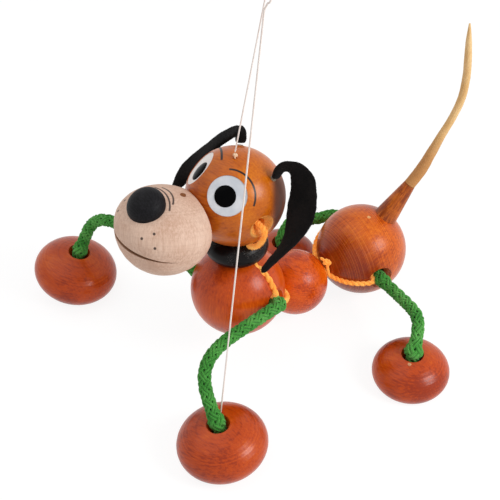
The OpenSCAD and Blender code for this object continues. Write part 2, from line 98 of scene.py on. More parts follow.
def leaned(about_x, about_y):
    """The turn that leans a piece about X and then about Y."""
    x, y = math.radians(about_x), math.radians(about_y)
    about_x = ((1, 0, 0), (0, math.cos(x), -math.sin(x)), (0, math.sin(x), math.cos(x)))
    about_y = ((math.cos(y), 0, math.sin(y)), (0, 1, 0), (-math.sin(y), 0, math.cos(y)))
    return np.array(about_y) @ np.array(about_x)


CHEST_R, MID_R, REAR_R, HEAD_R = 25, 18, 25, 25.3
BALL_GAP, CORD_R, ROPE_R = 0.3, 1.3, 3.6
NECK_LENGTH = 60.4
FRONT_AXLE, REAR_AXLE = toward(112, 7), toward(79.5, -2)
MID_WAY, REAR_WAY = toward(183.7, -26), toward(176.3, 7)
TAIL_WAY = toward(168, 56)
REAR_BAIL_WAY = toward(-10.5, -6)

CHEST = np.array((8, -29.3, 41.5))
MID = CHEST + (CHEST_R + BALL_GAP + MID_R) * MID_WAY
REAR = MID + (MID_R + BALL_GAP + REAR_R) * REAR_WAY
NECK = leaned(-1.8, -4.4)
NECK_SIDE, NECK_BACK, NECK_WAY = NECK.T
HEAD = CHEST + NECK_LENGTH * NECK_WAY

MUZZLE_PITCH = math.radians(-11.4)
MUZZLE_AXES = (
    np.array((1.0, 0, 0)),
    np.array((0, -math.cos(MUZZLE_PITCH), -math.sin(MUZZLE_PITCH))),
    np.array((0, -math.sin(MUZZLE_PITCH), math.cos(MUZZLE_PITCH))),
)
# The head's flat, and the muzzle's middle in front of it and below the head's middle
HEAD_FLAT, MUZZLE_BACK, MUZZLE_DROP = HEAD_R - 0.3, 15.2, 7.2
MUZZLE = HEAD + (HEAD_FLAT + MUZZLE_BACK) * MUZZLE_AXES[1] - MUZZLE_DROP * MUZZLE_AXES[2]

# Where each foot stands, and its lean about X and about Y
FOOT_PLACES = {
    "foot_front_left": ((69.7, -78.3), (6, -4)),
    "foot_front_right": ((-78.4, -83.6), (-11, 6.5)),
    "foot_hind_left": ((81.1, 32.7), (0, 0)),
    "foot_hind_right": ((-27.2, 23.2), (0, 0)),
}
# Width, rise above the widest line and cut below it, of the front and the hind feet
FOOT_SIZES = {"front": (46.6, 15.2, 8), "hind": (41.2, 13.4, 7)}


# Arithmetic on materials


def join(socket, value):
    """Links a tone to a node's socket, or writes a plain value on it."""
    if isinstance(value, Tone):
        socket.id_data.links.new(value.socket, socket)
    elif socket.type == "RGBA" and len(value) == 3:
        socket.default_value = (*value, 1)
    else:
        socket.default_value = value


class Tone:
    """One output of a material's nodes. Arithmetic on it adds Math nodes."""

    def __init__(self, socket):
        self.socket = socket

    def node(self, kind, settings=None, values=None, out=0):
        """Adds any other node: its settings first, then the values or links of its sockets."""
        made = self.socket.id_data.nodes.new("ShaderNode" + kind)
        for name, value in (settings or {}).items():
            setattr(made, name, value)
        for name, value in (values or {}).items():
            join(made.inputs[name], value)
        return Tone(made.outputs[out])

    def math(self, operation, *numbers):
        return self.node("Math", {"operation": operation}, dict(enumerate(numbers)))

    def __add__(self, other):
        return self.math("ADD", self, other)

    __radd__ = __add__

    def __sub__(self, other):
        return self.math("SUBTRACT", self, other)

    def __rsub__(self, other):
        return self.math("SUBTRACT", other, self)

    def __mul__(self, other):
        return self.math("MULTIPLY", self, other)

    __rmul__ = __mul__

    def __abs__(self):
        return self.math("ABSOLUTE", self)

    def most(self, other):
        return self.math("MAXIMUM", self, other)

    def rise(self, low, high):
        """0 below low, 1 above high and smooth between; falls where low is the larger."""
        return self.node(
            "MapRange",
            {"interpolation_type": "SMOOTHSTEP"},
            {0: self, 1: low, 2: high, 3: 0.0, 4: 1.0},
        )

    def dot(self, way):
        values = {0: self, 1: tuple(map(float, way))}
        return self.node("VectorMath", {"operation": "DOT_PRODUCT"}, values, 1)

    def measured(self, origin, axes):
        """This place seen from another origin along other axes."""
        shifted = self.node(
            "VectorMath", {"operation": "SUBTRACT"}, {0: self, 1: tuple(map(float, origin))}
        )
        sides = [shifted.dot(a) for a in axes]
        return self.node("CombineXYZ", None, dict(enumerate(sides)))

    def part(self, index):
        return self.node("SeparateXYZ", None, {0: self}, index)

    def length(self):
        return self.node("VectorMath", {"operation": "LENGTH"}, {0: self}, 1)

    def scaled(self, sizes):
        return self.node("VectorMath", {"operation": "MULTIPLY"}, {0: self, 1: sizes})

    def speckle(self, scale, detail=2.0, rough=0.5, twist=0.0):
        """Noise from 0 to 1; a scale of 1 has features about a millimetre wide."""
        values = {"Vector": self, "Scale": scale, "Detail": detail}
        return self.node("TexNoise", None, {**values, "Roughness": rough, "Distortion": twist})

    def lines(self, scale, detail):
        """Noise along one number."""
        values = {"W": self, "Scale": scale, "Detail": detail}
        return self.node("TexNoise", {"noise_dimensions": "1D"}, values)


def seen(red, green, blue):
    """A colour as the eye sees it on a screen, in the shader's linear values."""
    return tuple(
        c / 12.92 if c <= 0.04045 else ((c + 0.055) / 1.055) ** 2.4 for c in (red, green, blue)
    )


def mixed(mask, under, over):
    """The under colour where the mask is 0 and the over colour where it is 1."""
    return mask.node("Mix", {"data_type": "RGBA"}, {0: mask, 6: under, 7: over}, 2)


class Finish:
    """A material with one main shader, whose place is measured in millimetres."""

    def __init__(self, name, **fixed):
        self.material = bpy.data.materials.new(name)
        self.material.use_nodes = True
        nodes = self.material.node_tree.nodes
        self.shader = nodes["Principled BSDF"]
        for socket, value in fixed.items():
            join(self.shader.inputs[socket.replace("_", " ")], value)
        spot = Tone(nodes.new("ShaderNodeTexCoord").outputs["Object"])
        self.place = spot.scaled((1 / MM,) * 3)

    def wear(self, **varying):
        """Feeds the shader's sockets with what changes over the surface."""
        for socket, value in varying.items():
            join(self.shader.inputs[socket.replace("_", " ")], value)
        return self

    def relief(self, height):
        """Bump from a height in millimetres."""
        values = {"Height": height, "Distance": MM, "Strength": 1.0}
        join(self.shader.inputs["Normal"], height.node("Bump", None, values))
        return self


# Camera, floor and light


def set_camera():
    """The photograph's viewpoint: from the dog's left, well above its back."""
    eye, target = Vector(CAMERA_EYE), Vector(CAMERA_TARGET)
    data = bpy.data.cameras.new("viewpoint")
    data.sensor_width = SENSOR
    data.lens = LENS
    data.clip_start = 0.02
    camera = bpy.data.objects.new("viewpoint", data)
    camera.location = eye
    camera.rotation_euler = (target - eye).to_track_quat("-Z", "Y").to_euler()
    bpy.context.scene.collection.objects.link(camera)
    bpy.context.scene.camera = camera


def set_lights():
    """A soft lamp from the right of the view, a broad one overhead and an even pale surround."""
    for name, way, far, size, power in LAMPS:
        data = bpy.data.lights.new(name, "AREA")
        data.shape = "DISK"
        data.size = size
        data.energy = power
        lamp = bpy.data.objects.new(name, data)
        lamp.location = Vector(way).normalized() * far + Vector(LAMPS_AIM)
        lamp.rotation_euler = Vector(way).to_track_quat("Z", "Y").to_euler()
        bpy.context.scene.collection.objects.link(lamp)
    world = bpy.data.worlds.new("pale_room")
    world.use_nodes = True
    bpy.context.scene.world = world
    surround = world.node_tree.nodes["Background"]
    join(surround.inputs["Color"], (1, 1, 1))
    looked_at = ray_seen(world.node_tree)
    join(surround.inputs["Strength"], looked_at * (1 - SURROUND) + SURROUND)


def ray_seen(tree):
    """1 where the camera, a gloss or a clear piece looks straight at the background."""
    rays = tree.nodes.new("ShaderNodeLightPath").outputs
    names = "Is Camera Ray", "Is Glossy Ray", "Is Transmission Ray"
    camera, gloss, clear = (Tone(rays[name]) for name in names)
    return camera.most(gloss).most(clear)


def set_floor():
    """A plain pale floor that looks white where no shadow falls."""
    mesh = bpy.data.meshes.new("floor")
    corners = [(-FLOOR_HALF, -FLOOR_HALF, 0), (FLOOR_HALF, -FLOOR_HALF, 0)]
    corners += [(FLOOR_HALF, FLOOR_HALF, 0), (-FLOOR_HALF, FLOOR_HALF, 0)]
    mesh.from_pydata(corners, [], [(0, 1, 2, 3)])
    pale = 0.9, 0.9, 0.9
    finish = Finish("pale_floor", Base_Color=pale, Roughness=0.95, Specular_IOR_Level=0.0)
    tree = finish.material.node_tree
    glow = finish.place.node("Emission", None, {"Color": (1, 1, 1), "Strength": GLOW_STRENGTH})
    sheet = Tone(finish.shader.outputs["BSDF"])
    both = glow.node("MixShader", None, {0: ray_seen(tree) * FLOOR_GLOW, 1: sheet, 2: glow})
    join(tree.nodes["Material Output"].inputs["Surface"], both)
    mesh.materials.append(finish.material)
    floor = bpy.data.objects.new("floor", mesh)
    bpy.context.scene.collection.objects.link(floor)


bpy.context.scene.view_settings.view_transform = "Standard"
set_camera()
set_lights()
set_floor()


# Finishes


def axes_along(way):
    """Three axes square to each other, the last along way."""
    last = unit(way)
    first = square_to((0.13, 0.21, 1), last)
    return first, np.cross(last, first), last


def turned_wood(
    name, centre, lathe, grain, tones, rings, gloss=0.25, pore=0.12, ripple=0.0, paint=None
):
    """Stained, lacquered wood off a lathe: streaks along the grain, rings about the lathe axis.

    rings is the strength of its turning lines, gloss the roughness of its lacquer, pore the
    darkness of its pores, and ripple the height of its waves in millimetres.
    """
    deep, mid, pale = tones
    made = Finish(name, Specular_IOR_Level=0.25, Coat_Roughness=0.2)
    place = made.place
    run = place.measured(centre, axes_along(grain)).scaled((1, 1, 0.16))
    stain = place.speckle(0.045, 3.0)
    streak = run.speckle(0.9, 4.0, 0.62, 0.3)
    fleck = run.speckle(3.4, 2.0, 0.5)
    along = place.measured(centre, axes_along(lathe)).part(2)
    ring = along.lines(1.7, 3.0)
    fine = along.lines(5.5, 1.0)
    tone = 0.5 + (streak - 0.5) * 1.1 + (stain - 0.5) * 1.5 + (ring - 0.5) * rings
    colour = mixed(tone.rise(0.15, 0.55), deep, mid)
    colour = mixed(tone.rise(0.5, 0.95), colour, pale)
    pores = fleck.rise(0.62, 0.78) * pore + fine.rise(0.6, 0.75) * rings * 0.3
    colour = mixed(pores, colour, tuple(c * 0.45 for c in deep))
    rough = gloss + streak * 0.12 + fleck.rise(0.55, 0.8) * 0.1
    height = ring * (0.03 * rings) + fine * (0.02 * rings) + streak * 0.02
    height = height - fleck.rise(0.62, 0.78) * 0.012
    if ripple:
        height = height + place.scaled((1.5, 1.5, 0.5)).speckle(0.9, 2.0, 0.5, 0.8) * ripple
    if paint:
        colour, height, rough = paint(made, colour, height, rough)
    made.wear(Base_Color=colour, Roughness=rough, Coat_Weight=(1 - fleck.rise(0.5, 0.8)) * 0.15)
    return made.relief(height)


# Soft edge of a painted stroke in millimetres, and the taper at its ends in degrees
STROKE_EDGE, STROKE_TAPER = 0.12, 2


def arc_mark(place, centre, radius, way, half_angle, half_width):
    """1 on a painted arc in the plane of a place's first two numbers; its ends taper."""
    flat = place.node("VectorMath", {"operation": "SUBTRACT"}, {0: place, 1: (*centre, 0)})
    flat = flat.scaled((1, 1, 0))
    reach = flat.length()
    lean = flat.node("VectorMath", {"operation": "NORMALIZE"}, {0: flat}).dot((*way, 0))
    outer, inner = math.radians(half_angle), math.radians(half_angle - STROKE_TAPER)
    ends = lean.rise(math.cos(outer), math.cos(inner))
    off = abs(reach - radius)
    return off.rise(half_width + STROKE_EDGE, half_width - STROKE_EDGE) * ends


def at_angle(degrees):
    """A direction in a flat plane, as its two numbers."""
    return math.cos(math.radians(degrees)), math.sin(math.radians(degrees))


NECK_HOLE_DROP = 4
EYE_TURN, EYE_LIFT = 45, 40.5
# Level and strength of each turning line above the neck
NECK_GROOVES = (-17.2, 0.5), (-20.6, 0.42), (-22.6, 0.35)
# Across, up and out of the head where a painted shadow of the near ear darkens it, below the ear's
# root
EAR_SHADE_AXES = (0.545, 0.839, 0), (-0.579, 0.376, 0.723), (0.606, -0.393, 0.69)
INK = seen(0.12, 0.05, 0.03)
# Centre, radius, middle angle, half angle and half width of each brow, in the plane of its eye
BROWS = {LEFT: ((0.35, -0.2), 13.2, 41.5, 55.5, 0.44), RIGHT: ((-4.3, -8.4), 23.1, 63, 24, 0.5)}


def paint_head(made, colour, height, rough):
    """Brows, turning lines, raw wood in the neck hole and a painted shadow of the near ear below
    its root.
    """
    place = made.place
    for side in (LEFT, RIGHT):
        turn, lift = math.radians(side * EYE_TURN), math.radians(EYE_LIFT)
        out = np.array((math.cos(turn), math.sin(turn), 0)) * side
        up = (-math.sin(turn) * math.sin(lift), math.cos(turn) * math.sin(lift), math.cos(lift))
        eye = place.measured(HEAD, (out, up, toward(side * EYE_TURN, EYE_LIFT)))
        front = eye.part(2).rise(5, 8)
        centre, radius, middle, half, wide = BROWS[side]
        brow = arc_mark(eye, centre, radius, at_angle(middle), half, wide)
        colour = mixed(brow * front, colour, INK)
        rough = rough + brow * front * 0.1
    neck = place.measured(HEAD, (NECK_SIDE, NECK_BACK, NECK_WAY))
    for level, depth in NECK_GROOVES:
        groove = abs(neck.part(2) - level).rise(0.42, 0.05)
        colour = mixed(groove * depth, colour, seen(0.45, 0.2, 0.05))
        height = height - groove * 0.06
    hole = neck.node("VectorMath", {"operation": "SUBTRACT"}, {0: neck, 1: (0, 0, -NECK_HOLE_DROP)})
    raw = hole.scaled((0, 1, 1)).length().rise(7.2, 6.2) * abs(neck.part(0)).rise(17, 19)
    ragged = place.speckle(1.9, 3.0).rise(0.35, 0.6)
    colour = mixed(raw * (0.55 + ragged * 0.43), colour, seen(1.0, 0.72, 0.36))
    # Painted shadow: darker brown below the near ear's root, where the ear shades the head
    under_ear = place.measured(HEAD, EAR_SHADE_AXES)
    shade = under_ear.part(0).rise(16.5, 20.5) * under_ear.part(1).rise(14, 7) * (1 - raw)
    shade = shade * under_ear.part(2).rise(-7, 3)
    colour = mixed(shade * 0.9, colour, seen(0.24, 0.08, 0.01))
    rough = rough + shade * 0.3
    return colour, height + raw * ragged * 0.2, rough + raw * 0.3


# Direction of the rear ball's painted shade, on its side toward the middle ball
REAR_SHADE_WAY = (0.3, -0.93, -0.1)


def paint_rear(made, colour, height, rough):
    """Fine ridges left by the lathe, over a painted shade, a darker red on the side toward the
    middle ball.
    """
    ball = made.place.measured(REAR, axes_along(REAR_WAY))
    low = made.place.measured(REAR, axes_along(REAR_SHADE_WAY)).part(2)
    # Painted shade: darker red towards the middle ball
    shade = low.rise(5, 21)
    colour = mixed(shade * 0.75, colour, seen(0.48, 0.12, 0.01))
    ridge = ball.part(2).lines(1.6, 0.0).rise(0.5, 0.68) * low.rise(-8, 14)
    colour = mixed(ridge * 0.2, colour, seen(0.93, 0.5, 0.22))
    return colour, height + ridge * 0.05, rough


MUZZLE_GRAIN = (-0.42, 0.3, 0.86)
# Centre, radius, middle angle, half angle and half width of the wrinkle strokes behind the nose
WRINKLES = ((-5.2, 22.6), 22.6, 280, 28, 0.45), ((-4.6, 12.3), 15.1, 281, 32, 0.45)
WHISKER_DOTS = (11.6, 20.2, 5.5), (14.2, 15.4, 8.8), (17.9, 16.3, 3.1)
DOT_OUTER, DOT_INNER = 0.85, 0.55


def muzzle_beech():
    """Plain beech with its grain and a few saw marks, wrinkle strokes and whisker dots."""
    made = Finish("pale_wood", Specular_IOR_Level=0.35, Coat_Roughness=0.45)
    snout = made.place.measured(MUZZLE, MUZZLE_AXES)
    board = made.place.measured(MUZZLE, axes_along(MUZZLE_GRAIN))
    streak = board.scaled((1, 1, 0.08)).speckle(1.1, 4.0, 0.6, 0.15)
    thread_like = board.scaled((1, 1, 0.05)).speckle(2.6, 2.0).rise(0.5, 0.68)
    cloud = snout.speckle(0.05, 2.0)
    ray = board.scaled((1.4, 1.4, 0.28)).speckle(1.7, 2.0).rise(0.6, 0.72)
    cross = board.part(2).lines(1.7, 3.0).rise(0.52, 0.68)
    tone = 0.5 + (streak - 0.5) * 1.2 + (cloud - 0.5) * 1.2
    colour = mixed(tone.rise(0.2, 0.85), seen(0.8, 0.64, 0.545), seen(0.9, 0.77, 0.685))
    colour = mixed(ray * 0.35, colour, seen(0.7, 0.52, 0.42))
    colour = mixed(cross * 0.22, colour, seen(0.73, 0.56, 0.46))
    colour = mixed(thread_like * 0.3, colour, seen(0.95, 0.84, 0.77))
    inside = snout.length().rise(24.5, 24.1) * snout.part(2).rise(-1, -2)
    colour = mixed(inside * 0.85, colour, seen(0.62, 0.45, 0.32))
    inner, outer = (
        arc_mark(snout, middle, radius, at_angle(angle), half, wide)
        for middle, radius, angle, half, wide in WRINKLES
    )
    marks = inner.most(outer) * snout.part(2).rise(8, 10)
    sides = [abs(snout.part(0)), snout.part(1), snout.part(2)]
    mirrored = snout.node("CombineXYZ", None, dict(enumerate(sides)))
    for dot in WHISKER_DOTS:
        spot = mirrored.node("VectorMath", {"operation": "DISTANCE"}, {0: mirrored, 1: dot}, 1)
        marks = marks.most(spot.rise(DOT_OUTER, DOT_INNER))
    marks = marks * snout.part(1).rise(-9, -6)
    colour = mixed(marks * 0.92, colour, seen(0.16, 0.08, 0.07))
    made.wear(Base_Color=colour, Roughness=0.5 + streak * 0.15, Coat_Weight=0.06 + cloud * 0.06)
    return made.relief(streak * 0.025 - ray * 0.02 - cross * 0.015)


def black_stain():
    """Black-stained wood with open cracks along the grain, for the nose."""
    made = Finish("black_wood", Specular_IOR_Level=0.1, Coat_Roughness=0.4)
    snout = made.place.measured(MUZZLE, MUZZLE_AXES)
    run = snout.scaled((0.25, 1.3, 1.3))
    grain = run.speckle(1.2, 4.0, 0.65, 0.4)
    crack = run.speckle(2.1, 2.0, 0.5, 0.6).rise(0.6, 0.7)
    colour = mixed(grain.rise(0.25, 0.8), seen(0.03, 0.03, 0.035), seen(0.13, 0.125, 0.14))
    colour = mixed(crack * 0.8, colour, seen(0.02, 0.02, 0.02))
    made.wear(Base_Color=colour, Roughness=0.45 + grain * 0.2, Coat_Weight=(1 - crack) * 0.04)
    return made.relief(grain * 0.06 - crack * 0.1)


def collar_black():
    """Glossy black collar with lint and fine hair scratches."""
    made = Finish("black_collar", Specular_IOR_Level=0.1, Coat_Roughness=0.2)
    ring = made.place.measured(CHEST + 0.5 * NECK_LENGTH * NECK_WAY, axes_along(NECK_WAY))
    lint = ring.scaled((1, 1, 0.5)).speckle(0.55, 2.0, 0.5, 3.5)
    hair = abs(lint - 0.5).rise(0.012, 0.003) * ring.speckle(0.12, 1.0).rise(0.5, 0.62)
    dust = ring.speckle(2.2, 3.0).rise(0.58, 0.75) * ring.speckle(0.2, 1.0).rise(0.45, 0.7)
    turning = ring.part(2).lines(1.4, 2.0)
    colour = mixed(dust * 0.2, seen(0.05, 0.035, 0.04), seen(0.3, 0.28, 0.29))
    colour = mixed(hair * 0.7, colour, seen(0.5, 0.49, 0.48))
    rough = 0.3 + dust * 0.3 + turning * 0.1
    made.wear(Base_Color=colour, Roughness=rough, Coat_Weight=(1 - dust) * 0.1)
    return made.relief(turning * 0.03 + hair * 0.04)


def eye_white(name, dark, light):
    """Pressed white disc, a little blue, with a worn rim."""
    made = Finish(name, Specular_IOR_Level=0.3, Coat_Roughness=0.2)
    cloud = made.place.speckle(0.16, 3.0)
    grit = made.place.speckle(1.8, 3.0)
    colour = mixed(cloud.rise(0.3, 0.75), dark, light)
    colour = mixed(grit.rise(0.68, 0.78) * 0.25, colour, seen(0.6, 0.58, 0.56))
    made.wear(Base_Color=colour, Roughness=0.38 + grit * 0.12, Coat_Weight=cloud * 0.15)
    return made.relief(grit * 0.012)


def pupil_black():
    """Polished black dome with a little dust."""
    made = Finish("black_gloss", Specular_IOR_Level=0.02, Coat_Roughness=0.06)
    dust = made.place.speckle(2.6, 3.0).rise(0.66, 0.8)
    smear = made.place.speckle(0.3, 2.0)
    colour = mixed(dust * 0.08, seen(0.01, 0.01, 0.012), seen(0.2, 0.2, 0.2))
    rough = 0.12 + smear * 0.12 + dust * 0.2
    made.wear(Base_Color=colour, Roughness=rough, Coat_Weight=(1 - dust) * 0.02)
    return made.relief(smear * 0.01)


def small_wood(name, dark, light, lay=(0, 0, 1)):
    """Bare wood of the little pegs, pin and plugs, seen mostly as end grain."""
    made = Finish(name, Specular_IOR_Level=0.3, Coat_Roughness=0.5)
    run = made.place.measured((0, 0, 0), axes_along(lay)).scaled((1, 1, 0.25))
    grain = run.speckle(2.4, 4.0, 0.6)
    pore = made.place.speckle(5.5, 2.0).rise(0.58, 0.7)
    colour = mixed(grain.rise(0.25, 0.75), dark, light)
    colour = mixed(pore * 0.35, colour, tuple(c * 0.4 for c in dark))
    made.wear(Base_Color=colour, Roughness=0.55 + grain * 0.2, Coat_Weight=grain * 0.05)
    return made.relief(grain * 0.05 - pore * 0.05)


def spun(name, dark, mid, light, fuzz=0.6, glow=0.0):
    """Soft yarn of fine fibres; glow is painted light, a faint glow in the yarn's own colour that
    stands for the light its bright fibres pass on.
    """
    sheen = {"Sheen_Weight": 0.12, "Sheen_Roughness": 0.5}
    made = Finish(name, Specular_IOR_Level=0.12, Emission_Strength=glow, **sheen)
    fibre = made.place.speckle(2.2, 3.0, 0.6, 1.0)
    strand = made.place.speckle(6.0, 2.0, 0.5, 2.0)
    cloud = made.place.speckle(0.12, 2.0)
    tone = 0.5 + (fibre - 0.5) * 0.9 + (strand - 0.5) * 0.7 + (cloud - 0.5) * 0.8
    colour = mixed(tone.rise(0.15, 0.5), dark, mid)
    colour = mixed(tone.rise(0.48, 0.9), colour, light)
    made.wear(Base_Color=colour, Roughness=0.72 + strand * 0.2, Emission_Color=colour)
    return made.relief(fibre * 0.12 * fuzz + strand * 0.1 * fuzz)


def felt_black():
    """Pressed black felt: matted fibres, a grey nap where it is brushed."""
    made = Finish("black_felt", Specular_IOR_Level=0.04, Sheen_Weight=0.04, Sheen_Roughness=0.6)
    mat = made.place.speckle(1.5, 4.0, 0.7, 1.6)
    nap = made.place.speckle(4.5, 3.0, 0.6, 2.4)
    worn = made.place.speckle(0.1, 2.0)
    tone = (mat - 0.5) * 0.9 + (nap - 0.5) * 0.9 + (worn - 0.5) * 0.6 + 0.5
    colour = mixed(tone.rise(0.3, 0.85), seen(0.02, 0.02, 0.022), seen(0.13, 0.11, 0.105))
    made.wear(Base_Color=colour, Roughness=0.82 + nap * 0.15)
    return made.relief(mat * 0.16 + nap * 0.12)


WHIP_GRAIN = (0.1, 0.4, 1)
# Heights above the rear ball's middle between which the whip's brown foot fades
WHIP_FADE = 76, 52


def tail_hide():
    """Honey-coloured whip: long streaks, a brown foot and dry, slightly chipped edges."""
    made = Finish("tail_leather", Specular_IOR_Level=0.28, Coat_Roughness=0.5)
    run = made.place.measured(REAR, axes_along(WHIP_GRAIN)).scaled((0.6, 0.6, 0.03))
    streak = run.speckle(1.3, 4.0, 0.6)
    cloud = made.place.speckle(0.06, 2.0)
    chip = made.place.speckle(1.6, 3.0).rise(0.62, 0.74)
    height_up = made.place.measured(REAR, axes_along((0, 0, 1))).part(2)
    foot = height_up.rise(*WHIP_FADE)
    tone = 0.5 + (streak - 0.5) * 0.9 + (cloud - 0.5) * 0.9
    colour = mixed(tone.rise(0.1, 0.9), seen(0.86, 0.67, 0.42), seen(0.96, 0.82, 0.6))
    colour = mixed(foot * 0.85, colour, seen(0.76, 0.52, 0.29))
    colour = mixed(chip * 0.3, colour, seen(0.93, 0.82, 0.62))
    made.wear(Base_Color=colour, Roughness=0.58 + streak * 0.18, Coat_Weight=cloud * 0.08)
    return made.relief(streak * 0.1 + chip * 0.05)


GREEN_TONES = seen(0.14, 0.42, 0.13), seen(0.28, 0.6, 0.24), seen(0.5, 0.78, 0.42)
# The rope's core is painted dark green: painted shade in the gaps between the strands
SHADED_CORE_TONES = seen(0.05, 0.22, 0.05), seen(0.08, 0.3, 0.09), seen(0.12, 0.36, 0.12)
ORANGE_TONES = seen(0.95, 0.5, 0.16), seen(1.0, 0.66, 0.28), seen(1.0, 0.82, 0.48)
KNOT_TONES = seen(0.95, 0.72, 0.55), seen(1.0, 0.86, 0.72), seen(1.0, 0.95, 0.86)
THREAD_TONES = seen(0.95, 0.86, 0.82), seen(0.98, 0.93, 0.9), seen(1.0, 0.97, 0.95)
GREEN_YARN = spun("green_rope", *GREEN_TONES)
SHADED_CORE_YARN = spun("rope_core_painted_shade", *SHADED_CORE_TONES)
# The orange cords glow faintly in their own colour: painted light
ORANGE_YARN = spun("orange_cord", *ORANGE_TONES, fuzz=1.0, glow=0.3)
KNOT_YARN = spun("pale_knot", *KNOT_TONES, fuzz=1.0)
THREAD = spun("pale_thread", *THREAD_TONES, fuzz=0.3)
FELT = felt_black()


# Lines, tubes and pieces


def run_of(line):
    """The distance along a line at each of its points."""
    return np.concatenate(([0], np.cumsum(np.linalg.norm(np.diff(line[:, :3], axis=0), axis=1))))


def smooth_line(points, step):
    """A smooth line in even steps through rows whose first three numbers are a place."""
    p = np.array(points, float)
    t = run_of(p)
    slope = np.gradient(p, t, axis=0)
    fine = np.linspace(0, t[-1], max(3, int(t[-1] / 0.1)))
    i = np.clip(np.searchsorted(t, fine, side="right") - 1, 0, len(t) - 2)
    gap = (t[i + 1] - t[i])[:, None]
    x = (fine - t[i])[:, None] / gap
    line = (1 + 2 * x) * (1 - x) ** 2 * p[i] + x * (1 - x) ** 2 * gap * slope[i]
    line = line + x**2 * (3 - 2 * x) * p[i + 1] + x**2 * (x - 1) * gap * slope[i + 1]
    run = run_of(line)
    even = np.linspace(0, run[-1], max(2, round(run[-1] / step) + 1))
    return np.column_stack([np.interp(even, run, column) for column in line.T])


def carried(line, start):
    """The way along a line, and a side and an up direction carried along it without twist."""
    way = np.gradient(line, axis=0)
    way /= np.linalg.norm(way, axis=1)[:, None]
    side = np.empty_like(way)
    last = np.array(start, float)
    for i, w in enumerate(way):
        last = square_to(last, w)
        side[i] = last
    return way, side, np.cross(way, side)


class Skin:
    """Gathers closed skins, in millimetres, and makes one mesh of them."""

    def __init__(self):
        self.points, self.faces, self.parts, self.count = [], [], [], 0

    def rings(self, rings, part=0):
        """A closed skin through equal rings of points."""
        rings = np.asarray(rings, float)
        last, n = rings.shape[0] - 1, rings.shape[1]
        base = self.count
        for i in range(last):
            a = base + i * n
            for j in range(n):
                k = (j + 1) % n
                self.faces.append((a + j, a + k, a + n + k, a + n + j))
        self.faces.append(tuple(base + n - 1 - j for j in range(n)))
        self.faces.append(tuple(base + last * n + j for j in range(n)))
        self.parts += [part] * (last * n + 2)
        self.points.append(rings.reshape(-1, 3))
        self.count += (last + 1) * n

    def tube(self, line, radius, sides, start=(0, 0, 1), flat=1.0, part=0, out=None):
        """A tube along a line. Its radius may change along it, and flat squeezes its up side."""
        way, side, up = carried(line, start)
        if out is not None:
            up = out - np.sum(out * way, axis=1)[:, None] * way
            up /= np.linalg.norm(up, axis=1)[:, None]
            side = np.cross(up, way)
        turn = np.linspace(0, 2 * math.pi, sides, endpoint=False)
        radius = np.broadcast_to(np.asarray(radius, float), (len(line),))[:, None, None]
        across, over = np.cos(turn)[None, :, None], np.sin(turn)[None, :, None]
        ring = side[:, None] * across + up[:, None] * over * flat
        self.rings(line[:, None] + radius * ring, part)

    def piece(self, name, finishes, body, node):
        """Makes the object that stands for a node, and attaches it to its body if it has one."""
        mesh = bpy.data.meshes.new(name)
        mesh.from_pydata((np.concatenate(self.points) * MM).tolist(), [], self.faces)
        for finish in finishes:
            mesh.materials.append(finish.material)
        mesh.polygons.foreach_set("material_index", self.parts)
        mesh.shade_smooth()
        made = bpy.data.objects.new(name, mesh)
        bpy.context.scene.collection.objects.link(made)
        if body:
            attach(made, body)
        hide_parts(node)
        return made


def fibres(skin, line, radius, count, reach, seed, thick):
    """Loose fibres that stand out from a cord, each a thin closed hair."""
    draw = random.Random(seed)
    way, side, up = carried(line, (0.3, 0.5, 1))
    for _ in range(count):
        i = draw.randrange(1, len(line) - 1)
        turn = draw.uniform(0, 2 * math.pi)
        out = math.cos(turn) * side[i] + math.sin(turn) * up[i]
        forth, aside = draw.uniform(-1.4, 1.4), draw.uniform(-0.9, 0.9)
        lean = unit(out + way[i] * forth + np.cross(way[i], out) * aside)
        long = reach * draw.uniform(0.4, 1)
        start = line[i] + out * radius * 0.8
        curl = unit(np.cross(lean, out) + 0.01) * draw.uniform(-0.4, 0.4) * long
        hair = np.array([start, start + lean * long * 0.55, start + lean * long + curl])
        skin.tube(hair, (thick, thick * 0.8, thick * 0.25), 3, out)


# Threads, which something outside the photograph holds up

THREAD_R = 0.4
LOOP_R = 3.5
# How deep a thread goes into the foot, and where it does so, from the foot's middle
THREAD_SINK, THREAD_SPOT = 3, (-6, 5)
HEAD_KNOT_D = 3.2


def thread(name, start, way, rise, body, node):
    """A taut puppet thread that rises straight to its finger loop."""
    way = unit(way)
    out = square_to((1, 0, 0), way)
    top = way * rise
    turns = [
        top + LOOP_R * (1 + math.sin(a)) * way + LOOP_R * math.cos(a) * out
        for a in np.radians(np.arange(-60, 241, 15))
    ]
    route = [way * 0, *(way * rise * k / 8 for k in range(1, 8)), top - LOOP_R * way, *turns]
    route = np.array(start) + np.array(route)
    data = bpy.data.curves.new(name, "CURVE")
    data.dimensions = "3D"
    data.bevel_depth = THREAD_R * MM
    data.bevel_resolution = 3
    data.use_fill_caps = True
    spline = data.splines.new("POLY")
    spline.points.add(len(route) - 1)
    for point, place in zip(spline.points, route * MM):
        point.co = (*place, 1)
    data.materials.append(THREAD.material)
    made = bpy.data.objects.new(name, data)
    bpy.context.scene.collection.objects.link(made)
    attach(made, body)
    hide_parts(node)


def foot_frame(name):
    """Centre and upright axes of a foot at its widest line."""
    (x, y), lean = FOOT_PLACES[name]
    wide, rise, cut = FOOT_SIZES[name.split("_")[1]]
    turn = leaned(*lean)
    tip = math.acos(turn[2, 2])
    rim = wide / 2 * math.sqrt(1 - (cut / rise) ** 2)
    return np.array((x, y, cut * math.cos(tip) + rim * math.sin(tip))), turn, wide, rise


def thread_foot_start():
    """The lower end of the foot's thread, inside the foot."""
    centre, turn, wide, rise = foot_frame("foot_front_left")
    x, y = THREAD_SPOT
    top = rise * math.sqrt(1 - (2 * math.hypot(x, y) / wide) ** 2)
    return centre + turn @ np.array((x, y, top)) - np.array((0, 0, THREAD_SINK))


